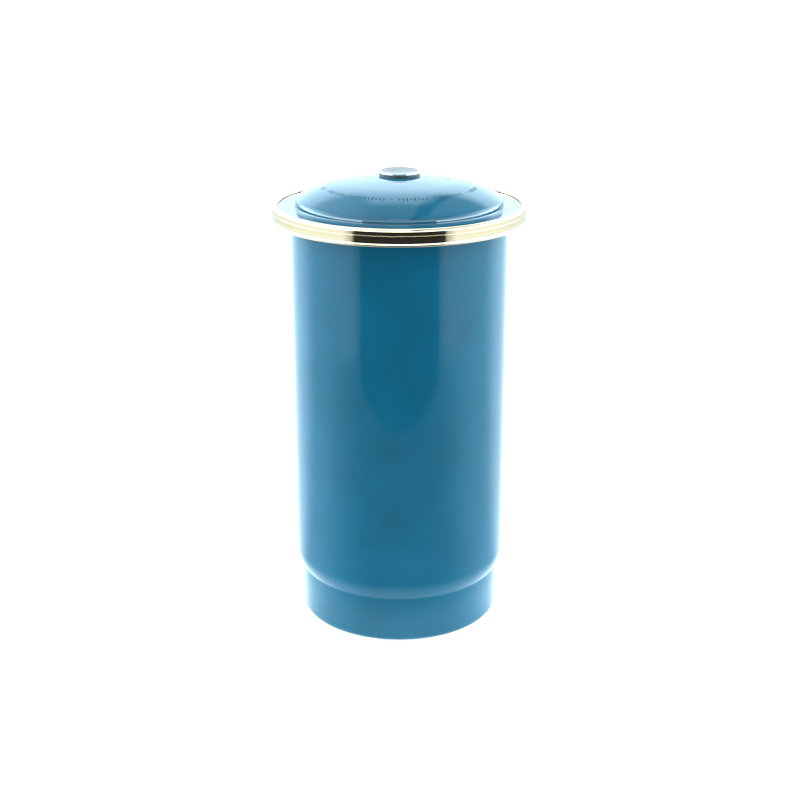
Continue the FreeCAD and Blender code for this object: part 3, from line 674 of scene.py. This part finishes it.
def lid_band():
    """Lower lip, outer wall, rounded top and inner wall down to the trough."""
    walk = Walk(BAND_RADIUS - BAND_LIP + BAND_SHEET / 2, LID_SEAT, 0)
    walk.out_to(BAND_RADIUS - TIGHT_CORNER).fold(TIGHT_CORNER)
    walk.up_to(LID_TOP - BAND_TOP_CORNER).bend(BAND_TOP_CORNER, 90)
    walk.out_to(BAND_RADIUS - LID_BAND_WIDTH + BAND_INNER_CORNER).bend(BAND_INNER_CORNER, 90)
    walk.up_to(TROUGH_FLOOR + BAND_OVER_TROUGH + BAND_SHEET / 2)
    loop, _ = walk.sheet(BAND_SHEET)
    return turned_piece("lid_band_brass", "lid_band", "lid", brass, loop)


def lid_collar():
    """Flange, wall and drawn-in lead of the collar that locates the lid."""
    radius = BODY_RADIUS - WALL - COLLAR_GAP
    lead = math.radians(LEAD_ANGLE)
    rise = LEAD_RADIUS * math.sin(lead) + LEAD_LENGTH * math.cos(lead)
    walk = Walk(half_width("lid_collar") - COLLAR_SHEET / 2, LID_SEAT, 180)
    walk.out_to(radius + COLLAR_BEND).bend(COLLAR_BEND, 90)
    walk.up_to(LID_SEAT - COLLAR_DEPTH + rise)
    walk.bend(LEAD_RADIUS, -LEAD_ANGLE).straight(LEAD_LENGTH - COLLAR_SHEET / 2)
    loop, _ = walk.sheet(-COLLAR_SHEET)
    return turned_piece("locating_collar", "lid_collar", "lid", stainless, loop)


def lid_gasket():
    """Flat ring under the collar's flange, with its edges eased."""
    edge_radius = 0.12
    outer = MOUTH_SEAL_RADIUS
    inner = outer - SEAL_WIDTH
    foot, top = low("lid_gasket"), high("lid_gasket")
    corners = [(inner, foot), (outer, foot), (outer, top), (inner, top)]
    return turned_piece("mouth_seal", "lid_gasket", "lid", rubber,
                        eased(rounded(corners, edge_radius)))


def border_marks():
    """A plain border of short bars and dots on the front of the dome's shoulder, in groups.

    Each mark is a pillow on a grid of two parameters: u runs round the dome and v down it, the
    inner grid points stand proud and the outer ones lie just under the enamel.
    """
    ring = 36.0             # mm from the axis
    proud = 0.05
    sunk = 0.08
    steps = 132             # places in a full turn
    last_step = 27          # how far the border runs either side of the front
    group = 11              # places in a group: eight bars, a gap, a dot and a gap
    dot, gaps = 9, (8, 10)
    across = np.array([-1, -0.55, 0, 0.55, 1])
    down = np.array([-1, -0.75, -0.25, 0.25, 0.75, 1])
    u, v = np.meshgrid(across, down, indexing="ij")
    rim = (np.abs(u) == 1) | (np.abs(v) == 1)
    count = u.size
    grid = np.arange(count).reshape(u.shape)
    under = grid.copy()
    under[~rim] = count + np.arange((~rim).sum())
    points_each = count + int((~rim).sum())
    top_faces = np.stack([grid[:-1, :-1], grid[:-1, 1:], grid[1:, 1:], grid[1:, :-1]], -1).reshape(-1, 4)
    low_faces = np.stack([under[:-1, :-1], under[1:, :-1], under[1:, 1:], under[:-1, 1:]], -1).reshape(-1, 4)
    vertices = []
    faces = []
    for step in range(-last_step, last_step + 1):
        number = step % group
        if number in gaps:
            continue
        half_long = 0.35 if number == dot else (1.25 if number % 3 else 0.8)
        half_wide = 0.35 if number == dot else (0.28 if number % 2 else 0.42)
        angle = -math.pi / 2 + 2 * math.pi * step / steps + u * half_wide / ring
        radius = ring + v * half_long
        flat = np.stack([radius * np.cos(angle), radius * np.sin(angle), dome_height(radius)], -1)
        top = flat + np.where(rim, -sunk, proud)[..., None] * [0, 0, 1]
        foot = flat[~rim] - [0, 0, 2 * sunk]
        base = points_each * len(vertices)
        vertices.append(np.vstack([top.reshape(-1, 3), foot]) * MM)
        faces += [top_faces + base, low_faces + base]
    mesh = bpy.data.meshes.new("border_marks")
    mesh.from_pydata(np.concatenate(vertices).tolist(), [], np.concatenate(faces).tolist())
    mesh.update()
    piece = new_piece("border_marks", mesh, enamel_mark)
    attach(piece, "lid")
    return piece


# ---- knob ----

def knob_cap():
    """Flat rim round a dish whose floor is an arc."""
    rim = KNOB_RADIUS - KNOB_RIM
    slope = 0.15
    across = np.linspace(rim, 0, 14)
    floor = KNOB_TOP - DISH_DEPTH + DISH_RADIUS - np.sqrt(DISH_RADIUS ** 2 - across ** 2)
    edge = rounded([(0, KNOB_SEAT), (KNOB_RADIUS, KNOB_SEAT), (KNOB_RADIUS, KNOB_TOP), (rim, KNOB_TOP),
                    (rim - slope, floor[0])], KNOB_EDGE)
    loop = np.vstack([eased(edge)[:-2], np.stack([across, floor], 1)[1:]])
    return turned_piece("knob_cap_disc", "knob_cap", "lid", knob_steel, loop, COARSE)


def knob_grommet():
    """Ring on the dome, its foot cut to the dome's slope, with a recess for the stud's head."""
    outer = KNOB_RING_RADIUS
    shelf = KNOB_SEAT - RING_RECESS_DEPTH
    corners = [(STUD_HOLE, float(dome_height(STUD_HOLE))), (outer, float(dome_height(outer))),
               (outer, KNOB_SEAT), (RING_RECESS, KNOB_SEAT), (RING_RECESS, shelf), (STUD_HOLE, shelf)]
    return turned_piece("knob_ring", "knob_grommet", "lid", rubber,
                        eased(rounded(corners, RING_EDGE)), COARSE)


def hidden_pieces():
    """Smooth copies of the pieces under the lid and in the can."""
    for node, body, slot, material in (
            ("knob_stud", "lid", "stainless_steel", stainless),
            ("knob_washer", "lid", "stainless_steel", stainless),
            ("knob_nut", "lid", "stainless_steel", stainless),
            ("pump_tube", "pump", "aluminium", aluminium),
            ("pump_bell", "pump", "aluminium", aluminium),
            ("valve_cage", "pump", "stainless_steel", stainless),
            ("valve_seat", "pump", "brass", brass),
            ("basket_stop", "pump", "aluminium", aluminium),
            ("valve_disc", "valve", "stainless_steel", stainless),
            ("basket_cup", "basket", "aluminium", aluminium),
            ("basket_sleeve", "basket", "aluminium", aluminium),
            ("spreader_plate", "spreader", "aluminium", aluminium),
            ("spreader_ferrule", "spreader", "aluminium", aluminium)):
        smooth_copy(node + "_finished", node, body, material)


# ---- studio ----

def around(tree, vector):
    """How far to the front a place or a direction lies, its reach from the axis, and its parts.

    It is 1 straight in front, 0 at the sides and -1 behind.
    """
    reach, split = from_axis(tree, vector)
    behind = worked(tree, "DIVIDE", split["Y"], reach)
    facing = add_node(tree, "ShaderNodeMath", {0: behind}, operation="MULTIPLY")
    facing.inputs[1].default_value = -1.0
    return facing.outputs[0], reach, split


# Light strengths are against a white page at 1. Directions and places are given by how far to the
# front they face (1 in front, 0 at the sides, -1 behind), reaches in metres from the can's axis.
COOL_LIGHT = (0.78, 1.0, 1.12, 1.0)     # daylight of the tent, a little blue
DARK = 0.03                             # the unlit gap in front
TABLE_GLOW = 0.5
TABLE_BOUNCE = 2.3                      # what the table gives to matt surfaces
TABLE_HALF = 16.0


def in_gap(tree, facing):
    """1 within the dark gap in front, which spans 40 degrees either side."""
    return smooth_between(tree, facing, math.cos(math.radians(41.5)), math.cos(math.radians(39)))


def studio_floor():
    """A white table under side lights.

    Glossy pieces see it dimmer to the front and brightest behind, with the dark gap past its edge.
    """
    mesh = bpy.data.meshes.new("studio_floor")
    corners = [(x * TABLE_HALF, y * TABLE_HALF, 0) for x, y in ((-1, -1), (1, -1), (1, 1), (-1, 1))]
    mesh.from_pydata(corners, [], [(0, 1, 2, 3)])
    floor = bpy.data.objects.new("studio_floor", mesh)
    bpy.context.scene.collection.objects.link(floor)
    material = bpy.data.materials.new("lit_white_table")
    material.use_nodes = True
    tree = material.node_tree
    tree.nodes.clear()
    paper = add_node(tree, "ShaderNodeBsdfDiffuse")
    paper.inputs["Color"].default_value = (0.9, 0.9, 0.9, 1)
    glow = add_node(tree, "ShaderNodeEmission")
    glow.inputs["Strength"].default_value = TABLE_GLOW
    table = add_node(tree, "ShaderNodeAddShader")
    tree.links.new(paper.outputs[0], table.inputs[0])
    tree.links.new(glow.outputs[0], table.inputs[1])
    facing, reach, axes = around(tree, place(tree))
    far_light = smooth_between(tree, facing, 0.1, 0.95, 1.1, 0.27)
    room_light = smooth_between(tree, facing, 0.62, 0.80, 1.2, 0.4)
    far_light = blend(tree, smooth_between(tree, reach, 0.44, 0.53), far_light, room_light)
    back_light = smooth_between(tree, reach, 0.86, 0.9, 1.9, 1.05)
    far_light = blend(tree, smooth_between(tree, facing, -0.1, -0.5), far_light, back_light)
    near_light = smooth_between(tree, facing, 0.0, 1.0, 2.4, 1.1)
    table_light = blend(tree, smooth_between(tree, reach, 0.060, 0.10), near_light, far_light)
    past_edge = smooth_between(tree, axes["Y"], -0.318, -0.345)
    gap = worked(tree, "MULTIPLY", past_edge, in_gap(tree, facing))
    path = add_node(tree, "ShaderNodeLightPath")
    bounced = blend(tree, path.outputs["Is Diffuse Ray"], table_light, TABLE_BOUNCE)
    mirrored = add_node(tree, "ShaderNodeEmission", {"Strength": blend(tree, gap, bounced, DARK)},
                        Color=COOL_LIGHT)
    choose = add_node(tree, "ShaderNodeMixShader", {0: path.outputs["Is Camera Ray"]})
    tree.links.new(mirrored.outputs[0], choose.inputs[1])
    tree.links.new(table.outputs[0], choose.inputs[2])
    add_node(tree, "ShaderNodeOutputMaterial", {"Surface": choose.outputs[0]})
    mesh.materials.append(material)
    return floor


def studio_surround():
    """Light tent: bright walls, strong lights at the sides, and a dimmer roof.

    Low in front there is a dark gap. The roof begins about 40 degrees up, with a bright edge in the
    middle, a dark strip to the right of it and a lighter part past the strip.
    """
    world = bpy.data.worlds.new("light_tent")
    bpy.context.scene.world = world
    world.use_nodes = True
    tree = world.node_tree
    tree.nodes.clear()
    direction = add_node(tree, "ShaderNodeTexCoord").outputs["Generated"]
    facing, _, axes = around(tree, direction)
    path = add_node(tree, "ShaderNodeLightPath")
    soft_sides = smooth_between(tree, facing, 0.45, 0.0, 0.6, 10.0)
    seen_sides = smooth_between(tree, facing, 0.6, -0.35, 2.2, 4.4)
    low_sides = smooth_between(tree, axes["Z"], 0.42, 0.0)
    seen_sides = blend(tree, low_sides, seen_sides, 14.0)
    sides = blend(tree, path.outputs["Is Diffuse Ray"], seen_sides, soft_sides)
    walls = blend(tree, smooth_between(tree, facing, -0.5, -0.85), sides, 3.0)
    low_down = smooth_between(tree, axes["Z"], math.sin(math.radians(14)), math.sin(math.radians(8)))
    gap = worked(tree, "MULTIPLY", low_down, in_gap(tree, facing))
    open_walls = blend(tree, gap, walls, DARK)
    left_roof = smooth_between(tree, axes["X"], -0.5, -0.12, 1.7, 1.0)
    roof_light = blend(tree, smooth_between(tree, axes["X"], 0.10, 0.15), left_roof, 0.22)
    roof_light = blend(tree, smooth_between(tree, axes["X"], 0.22, 0.27), roof_light, 0.9)
    sideways, lengthways = (worked(tree, "ABSOLUTE", axes[key]) for key in "XY")
    steepness = worked(tree, "DIVIDE", axes["Z"], worked(tree, "MAXIMUM", sideways, lengthways))
    middle = smooth_between(tree, sideways, 0.22, 0.12)
    roof_edge = worked(tree, "MULTIPLY", middle, smooth_between(tree, steepness, 2.3, 1.3, 0.0, 1.5))
    roof_light = worked(tree, "ADD", roof_light, roof_edge)
    brightness = blend(tree, smooth_between(tree, steepness, 0.62, 1.0), open_walls, roof_light)
    tent = add_node(tree, "ShaderNodeBackground", {"Strength": brightness}, Color=COOL_LIGHT)
    white = add_node(tree, "ShaderNodeBackground")
    white.inputs["Strength"].default_value = 1.1
    choose = add_node(tree, "ShaderNodeMixShader", {0: path.outputs["Is Camera Ray"]})
    tree.links.new(tent.outputs[0], choose.inputs[1])
    tree.links.new(white.outputs[0], choose.inputs[2])
    add_node(tree, "ShaderNodeOutputWorld", {"Surface": choose.outputs[0]})


def camera():
    """A long lens a little above the lid, looking down 19 degrees at the middle of the can."""
    lens = bpy.data.cameras.new("camera")
    lens.lens = 66.43
    lens.sensor_width = 36.0
    lens.clip_end = 20.0
    view = bpy.data.objects.new("camera", lens)
    bpy.context.scene.collection.objects.link(view)
    target = Vector((0.25, 0, 104.5)) * MM
    distance = 709.4 * MM
    elevation = math.radians(19.24)
    back = Vector((0, -math.cos(elevation), math.sin(elevation)))
    view.location = target + back * distance
    view.rotation_euler = (-back).to_track_quat("-Z", "Y").to_euler()
    bpy.context.scene.camera = view


camera()
vessel_can()
mouth_band()
lid_dome()
lid_band()
lid_collar()
lid_gasket()
border_marks()
knob_cap()
knob_grommet()
hidden_pieces()
studio_floor()
studio_surround()
bpy.context.scene.view_settings.view_transform = "Standard"
